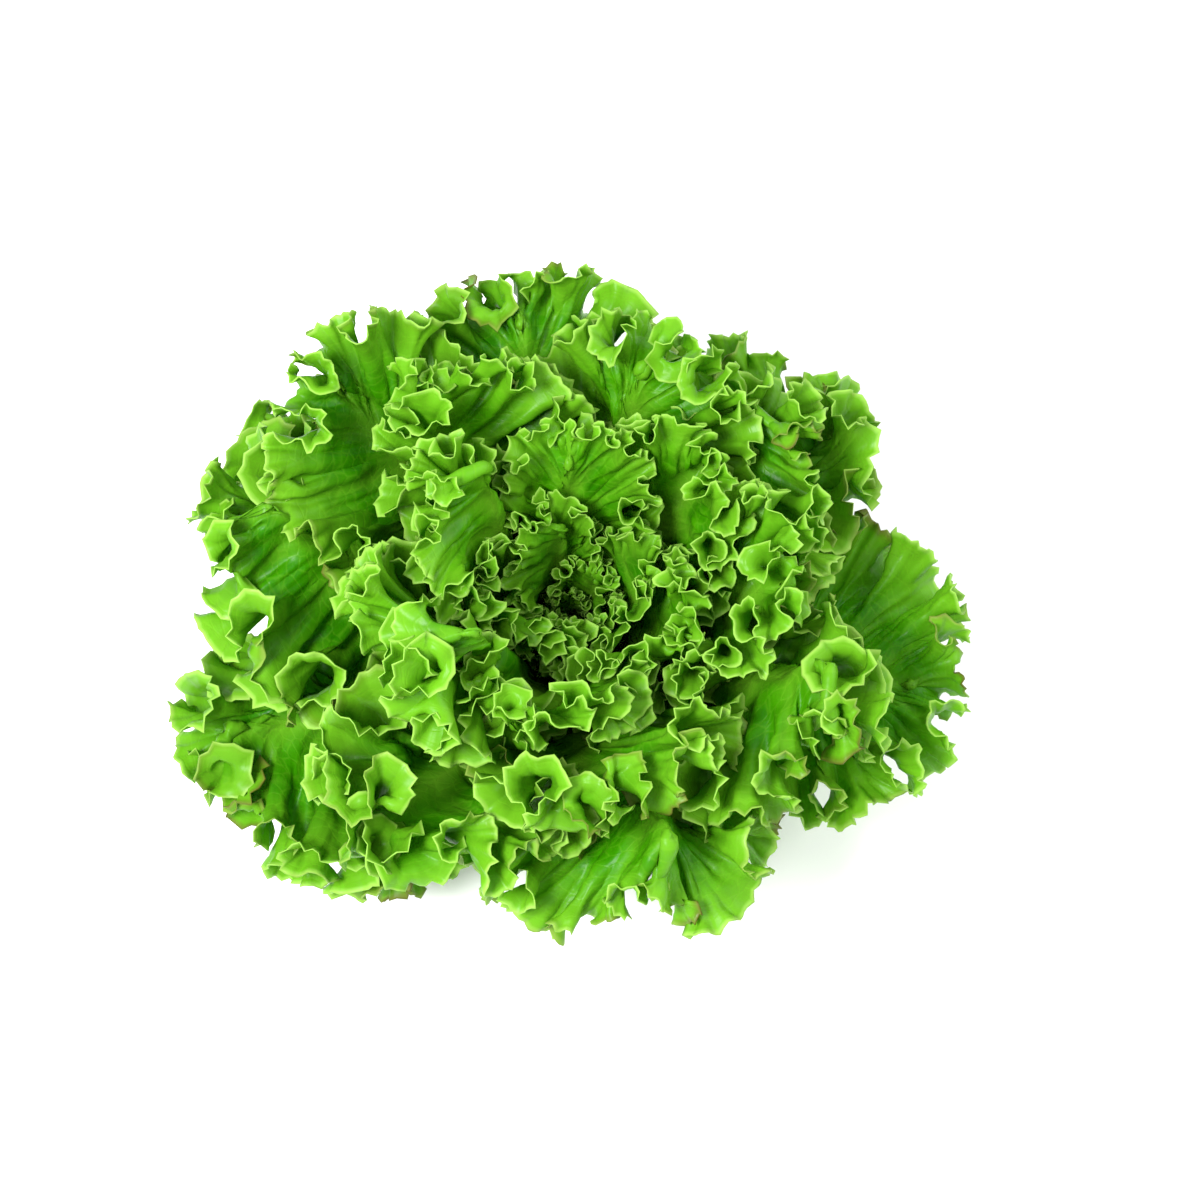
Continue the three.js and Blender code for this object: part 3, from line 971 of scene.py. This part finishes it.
def leaf_material(name, blade, through_share, scorched):
    """Fresh lettuce leaf, grown and rinsed: a thin waxy skin over wet tissue. To the eye it is a
    soft satin green that lights up yellow-green where light comes through, with pale watery ribs,
    a fine net of veins and a light margin; the palest line at the rim is partly a painted highlight."""
    colours = bpy.context.scene.lettuce_colours
    material = bpy.data.materials.new(name)
    material.use_nodes = True
    tree = material.node_tree
    tree.nodes.clear()
    add = partial(add_node, tree)
    flat = add("ShaderNodeUVMap", uv_map=UV_NAME)
    read = {
        key: add("ShaderNodeAttribute", attribute_name=key, output="Fac")
        for key in ("rim", "vein", "rib", "clasp", "tint")
    }

    # Patches and specks of deeper green on the flat leaf.
    patches = add("ShaderNodeTexNoise", {"Vector": flat, "Scale": UV_SPAN / PATCH_SIZE, "Detail": 3.0})
    specks = add("ShaderNodeTexNoise", {"Vector": flat, "Scale": UV_SPAN / SPECK_SIZE, "Detail": 4.0})
    mottle = add("ShaderNodeMath", {0: patches, 1: specks}, operation="ADD")
    tone = add("ShaderNodeMath", {0: read["tint"], 1: TINT_SHARE, 2: mottle}, operation="MULTIPLY_ADD")
    deep = add("ShaderNodeMapRange", dict(zip(MAP_RANGE, (tone, *DEEP_GREEN_RANGE))))
    colour = add("ShaderNodeMix", {0: deep, 6: colours.shade_blade, 7: blade}, data_type="RGBA", output=2)

    # The net of small veins: pale lines on the blade.
    net = add(
        "ShaderNodeTexVoronoi",
        {"Vector": flat, "Scale": UV_SPAN / VEIN_NET_SIZE, "Randomness": 1.0},
        feature="DISTANCE_TO_EDGE",
    )
    line = add("ShaderNodeMapRange", {"Value": net, 2: NET_LINE_WIDTH, 3: NET_LINE_STRENGTH, 4: 0.0})
    veins = add(
        "ShaderNodeMath",
        {0: read["vein"], 1: VEIN_STRENGTH, 2: line},
        operation="MULTIPLY_ADD",
        use_clamp=True,
    )
    # The rim band is partly the margin's own pale colour and partly a painted highlight.
    frill, rim = (
        add("ShaderNodeMapRange", dict(zip(MAP_RANGE, (read["rim"], *band))))
        for band in (FRILL_BAND, RIM_AND_HIGHLIGHT_BAND)
    )
    layers = (
        (veins, colours.rib, COVER["veins"]),
        (frill, colours.frill, COVER["frill"]),
        (rim, colours.rim, COVER["rim"]),
        (read["rib"], colours.rib, COVER["rib"]),
        (read["clasp"], colours.base, COVER["base"]),
    )
    for mask, paint, most in layers:
        share = add("ShaderNodeMath", {0: mask, 1: most}, operation="MULTIPLY")
        colour = add("ShaderNodeMix", {0: share, 6: colour, 7: paint}, data_type="RGBA", output=2)
    if scorched:
        dry = add("ShaderNodeTexNoise", {"Vector": flat, "Scale": UV_SPAN / SCORCH_SIZE, "Detail": 3.0})
        dry = add("ShaderNodeMapRange", dict(zip(MAP_RANGE, (dry, *SCORCH_NOISE))))
        tip = add("ShaderNodeMapRange", dict(zip(MAP_RANGE, (read["rim"], *SCORCH_BAND))))
        share = add("ShaderNodeMath", {0: dry, 1: tip}, operation="MULTIPLY")
        colour = add("ShaderNodeMix", {0: share, 6: colour, 7: colours.scorch}, data_type="RGBA", output=2)

    grain = add("ShaderNodeTexNoise", {"Vector": flat, "Scale": UV_SPAN / GRAIN_SIZE, "Detail": 2.0})
    surface = add("ShaderNodeMath", {0: line, 1: NET_BUMP, 2: grain}, operation="MULTIPLY_ADD")
    bump = add("ShaderNodeBump", {"Height": surface, "Strength": LEAF_BUMP, "Distance": LEAF_BUMP_DEPTH})
    rough = add("ShaderNodeMapRange", dict(zip(MAP_RANGE, (specks, *NOISE_RANGE, *LEAF_ROUGHNESS))))
    skin = add(
        "ShaderNodeBsdfPrincipled",
        {
            "Base Color": colour,
            "Roughness": rough,
            "Normal": bump,
            "IOR": LEAF_IOR,
            "Specular IOR Level": LEAF_SPECULAR,
        },
    )
    glow = add("ShaderNodeMix", {0: GLOW_TINT, 6: colour, 7: colours.glow}, output=2, data_type="RGBA")
    through = add("ShaderNodeBsdfTranslucent", {"Color": glow, "Normal": bump})
    leaf = add("ShaderNodeMixShader", {0: through_share, 1: skin, 2: through})
    add("ShaderNodeOutputMaterial", {"Surface": leaf})
    return material


def stem_material():
    """Cut lettuce stem: pale green rind, wet milky pith and a thin ring that has browned where the
    knife went through the sap."""
    colours = bpy.context.scene.lettuce_colours
    material = bpy.data.materials.new("cut lettuce stem")
    material.use_nodes = True
    tree = material.node_tree
    tree.nodes.clear()
    add = partial(add_node, tree)
    spot = add("ShaderNodeTexCoord", output="Object")
    parts = add("ShaderNodeSeparateXYZ", {0: spot}).node.outputs
    squares = [add("ShaderNodeMath", {0: parts[axis], 1: 2.0}, operation="POWER") for axis in ("X", "Y")]
    total = add("ShaderNodeMath", {0: squares[0], 1: squares[1]}, operation="ADD")
    radius = add("ShaderNodeMath", {0: total, 1: 0.5}, operation="POWER")
    fibre = add("ShaderNodeTexNoise", {"Vector": spot, "Scale": 1 / FIBRE_SIZE, "Detail": 4.0})
    uneven = add("ShaderNodeMath", {0: fibre, 1: FIBRE_WANDER, 2: radius}, operation="MULTIPLY_ADD")
    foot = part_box("stem")[1].x
    across = add("ShaderNodeMath", {0: uneven, 1: foot}, operation="DIVIDE")
    coloured = add("ShaderNodeValToRGB", {0: across})
    ramp = coloured.node.color_ramp
    ring_start, ring_middle, ring_end = STEM_RING_PLACES
    stops = (
        (0.0, colours.stem_cut),
        (ring_start, colours.stem_cut),
        (ring_middle, colours.stem_ring),
        (ring_end, colours.stem_cut),
        (1.0, colours.stem),
    )
    while len(ramp.elements) < len(stops):
        ramp.elements.new(0.5)
    for element, (place, paint) in zip(ramp.elements, stops):
        element.position, element.color = place, paint
    low = add("ShaderNodeMapRange", dict(zip(MAP_RANGE, (parts["Z"], *CUT_REACH))))
    colour = add("ShaderNodeMix", {0: low, 6: coloured, 7: colours.stem}, output=2, data_type="RGBA")
    bump = add("ShaderNodeBump", {"Height": fibre, "Strength": STEM_BUMP, "Distance": STEM_BUMP_DEPTH})
    skin = add(
        "ShaderNodeBsdfPrincipled",
        {
            "Base Color": colour,
            "Roughness": STEM_ROUGHNESS,
            "Subsurface Weight": STEM_SUBSURFACE,
            "Subsurface Radius": STEM_SUBSURFACE_RADIUS,
            "Normal": bump,
        },
    )
    add("ShaderNodeOutputMaterial", {"Surface": skin})
    return material


def floor_material():
    """Matt white paper sweep: an even, very pale ground."""
    material = bpy.data.materials.new("matt paper")
    material.use_nodes = True
    shader = material.node_tree.nodes["Principled BSDF"]
    shader.inputs["Base Color"].default_value = bpy.context.scene.lettuce_stage.floor_colour
    shader.inputs["Roughness"].default_value = FLOOR_ROUGHNESS
    shader.inputs["Specular IOR Level"].default_value = FLOOR_SPECULAR
    return material


# --- Pieces ---------------------------------------------------------------------------------------


def add_piece(name, mesh, tree, inputs, node):
    """Finishes a mesh with a geometry tree as a piece that stands for its packed node."""
    obj = bpy.data.objects.new(name, mesh)
    bpy.context.scene.collection.objects.link(obj)
    run_tree(obj, tree, inputs)
    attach(obj, BODY)
    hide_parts(node)


def make_leaves(whorl, blade, scorched):
    """Makes the finished leaves of one whorl."""
    skin = bpy.context.scene.lettuce_skin
    leaves, shares, points = grown_head()
    name = f"fresh lettuce {whorl.replace('_', ' ')}"
    material = leaf_material(name, blade, LIGHT_THROUGH[whorl], scorched)
    tree = bpy.data.node_groups.get("leaf_skin") or leaf_skin_tree()
    for leaf, grid, node in zip(leaves, points, LEAF_NODES):
        if not node.startswith(whorl):
            continue
        mesh = blade_mesh(leaf, shares, grid.astype(float), node, whorl, skin)
        inputs = {
            "Blade Thickness": skin.blade_thickness,
            "Rim Thickness": skin.rim_thickness,
            "Rib Thickness": skin.rib_thickness * lerp(1.0, YOUNG_RIB_SHARE, leaf.age),
            "Vein Thickness": skin.vein_thickness * lerp(1.0, YOUNG_RIB_SHARE, leaf.age),
            "Blister Height": skin.blister_height * lerp(1.0, YOUNG_BLISTER_SHARE, leaf.age),
            "Blister Size": skin.blister_size,
            "Seed": SKIN_SEED + leaf.index,
            "Material": material,
        }
        add_piece(node + "_grown", mesh, tree, inputs, node)


def stem_mesh(tall, top):
    """The stem's fluted cone, up to where its sides end and closed at its top."""
    profile = [(stem_radius(0) - STEM_BEVEL, 0.0)]
    heights = np.linspace(STEM_BEVEL, tall, STEM_RINGS)
    profile += [(stem_radius(z) - STEM_WOBBLE, z) for z in heights]
    turns = np.arange(STEM_SIDES) * 2 * math.pi / STEM_SIDES
    points = [(0.0, 0.0, 0.0)]
    for radius, z in profile:
        flutes = np.sin(STEM_FLUTES * turns + z / FLUTE_TURN_LENGTH)
        ring = radius + (STEM_WOBBLE if z else 0) * flutes
        points += [(r * math.cos(t), r * math.sin(t), z) for r, t in zip(ring, turns)]
    points.append((0.0, 0.0, top))
    faces = []
    last = (len(profile) - 1) * STEM_SIDES
    for side in range(STEM_SIDES):
        here, there = 1 + side, 1 + (side + 1) % STEM_SIDES
        faces.append((0, there, here))
        for base in range(0, last, STEM_SIDES):
            above = base + STEM_SIDES
            faces.append((base + here, base + there, above + there, above + here))
        faces.append((last + here, last + there, len(points) - 1))
    mesh = bpy.data.meshes.new("stem_body")
    mesh.from_pydata(points, [], faces)
    mesh.update()
    return mesh


class LETTUCE_OT_outer_leaves(bpy.types.Operator):
    """Grow the old leaves that spread low and wide"""

    bl_idname = "lettuce.outer_leaves"
    bl_label = "Outer leaves"

    def execute(self, context):
        make_leaves("outer_leaf", context.scene.lettuce_colours.outer_blade, scorched=True)
        return {"FINISHED"}


class LETTUCE_OT_middle_leaves(bpy.types.Operator):
    """Grow the leaves that stand half upright"""

    bl_idname = "lettuce.middle_leaves"
    bl_label = "Middle leaves"

    def execute(self, context):
        make_leaves("middle_leaf", context.scene.lettuce_colours.middle_blade, scorched=False)
        return {"FINISHED"}


class LETTUCE_OT_heart_leaves(bpy.types.Operator):
    """Grow the young leaves round the open heart"""

    bl_idname = "lettuce.heart_leaves"
    bl_label = "Heart leaves"

    def execute(self, context):
        # The heart's blade colour carries painted shade for the hollow heart.
        make_leaves("heart_leaf", context.scene.lettuce_colours.heart_blade_with_painted_shade, scorched=False)
        return {"FINISHED"}


class LETTUCE_OT_stem(bpy.types.Operator):
    """Make the cut stem with the scars of stripped leaves"""

    bl_idname = "lettuce.stem"
    bl_label = "Stem"

    def execute(self, context):
        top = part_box("stem")[1].z
        tall = top - STEM_TOP_RADIUS / 2
        inputs = {
            "Turn": context.scene.lettuce_habit.golden_angle,
            "Lowest": LOWEST_SCAR,
            "Rise": (tall - SCARLESS_HEIGHT) / SCARS,
            "Foot Radius": stem_radius(0) - 2 * STEM_WOBBLE,
            "Slope": (stem_radius(0) - STEM_TOP_RADIUS) / tall,
            "Scar Size": SCAR_SIZE,
            "Scars": SCARS,
            "Material": stem_material(),
        }
        add_piece("stem_grown", stem_mesh(tall, top), stem_scars_tree(), inputs, "stem")
        return {"FINISHED"}


class LETTUCE_OT_stage(bpy.types.Operator):
    """Set the floor, the soft lights and the camera"""

    bl_idname = "lettuce.stage"
    bl_label = "Stage"

    def execute(self, context):
        scene = context.scene
        stage = scene.lettuce_stage
        w = FLOOR_HALF_WIDTH
        mesh = bpy.data.meshes.new("floor")
        mesh.from_pydata([(-w, -w, 0), (w, -w, 0), (w, w, 0), (-w, w, 0)], [], [(0, 1, 2, 3)])
        mesh.materials.append(floor_material())
        floor = bpy.data.objects.new("floor", mesh)
        scene.collection.objects.link(floor)

        world = bpy.data.worlds.new("soft sky")
        world.use_nodes = True
        background = world.node_tree.nodes["Background"]
        background.inputs["Color"].default_value = (1, 1, 1, 1)
        background.inputs["Strength"].default_value = stage.sky_strength
        scene.world = world
        scene.view_settings.view_transform = "Standard"

        low, high = CAD_BOX
        middle = (low + high) / 2
        for name, place, size, power in (
            ("key", KEY_PLACE, KEY_SIZE, stage.key_power),
            ("fill", FILL_PLACE, FILL_SIZE, stage.fill_power),
        ):
            lamp = bpy.data.lights.new(name, "AREA")
            lamp.energy, lamp.size = power, size
            light = bpy.data.objects.new(name, lamp)
            light.location = place
            light.rotation_euler = (middle - light.location).to_track_quat("-Z", "Y").to_euler()
            scene.collection.objects.link(light)

        camera = bpy.data.objects.new("camera", bpy.data.cameras.new("camera"))
        camera.data.lens = stage.lens
        back = Vector((0, -math.cos(stage.elevation), math.sin(stage.elevation)))
        aim = middle + Vector((AIM_RIGHT, AIM_BACK, 0))
        camera.location = aim + back * stage.distance
        camera.rotation_euler = (-back).to_track_quat("-Z", "Y").to_euler()
        scene.collection.objects.link(camera)
        scene.camera = camera
        return {"FINISHED"}


OPERATORS = (
    LETTUCE_OT_outer_leaves,
    LETTUCE_OT_middle_leaves,
    LETTUCE_OT_heart_leaves,
    LETTUCE_OT_stem,
    LETTUCE_OT_stage,
)


class LETTUCE_PT_sidebar(bpy.types.Panel):
    """The steps of the head and their settings"""

    bl_label = "Head of lettuce"
    bl_space_type = "VIEW_3D"
    bl_region_type = "UI"
    bl_category = "Lettuce"

    def draw(self, context):
        for operator in OPERATORS:
            self.layout.operator(operator.bl_idname)
        for name, group in SETTINGS.items():
            box = self.layout.box()
            box.label(text=group.__doc__)
            for field in group.__annotations__:
                box.prop(getattr(context.scene, name), field)


def register():
    for kind in (*SETTINGS.values(), *OPERATORS, LETTUCE_PT_sidebar):
        bpy.utils.register_class(kind)
    for name, group in SETTINGS.items():
        setattr(bpy.types.Scene, name, PointerProperty(type=group))


def unregister():
    for name in SETTINGS:
        delattr(bpy.types.Scene, name)
    for kind in reversed((*SETTINGS.values(), *OPERATORS, LETTUCE_PT_sidebar)):
        bpy.utils.unregister_class(kind)


def main():
    register()
    bpy.ops.lettuce.outer_leaves()
    bpy.ops.lettuce.middle_leaves()
    bpy.ops.lettuce.heart_leaves()
    bpy.ops.lettuce.stem()
    bpy.ops.lettuce.stage()


if __name__ == "__main__":
    main()
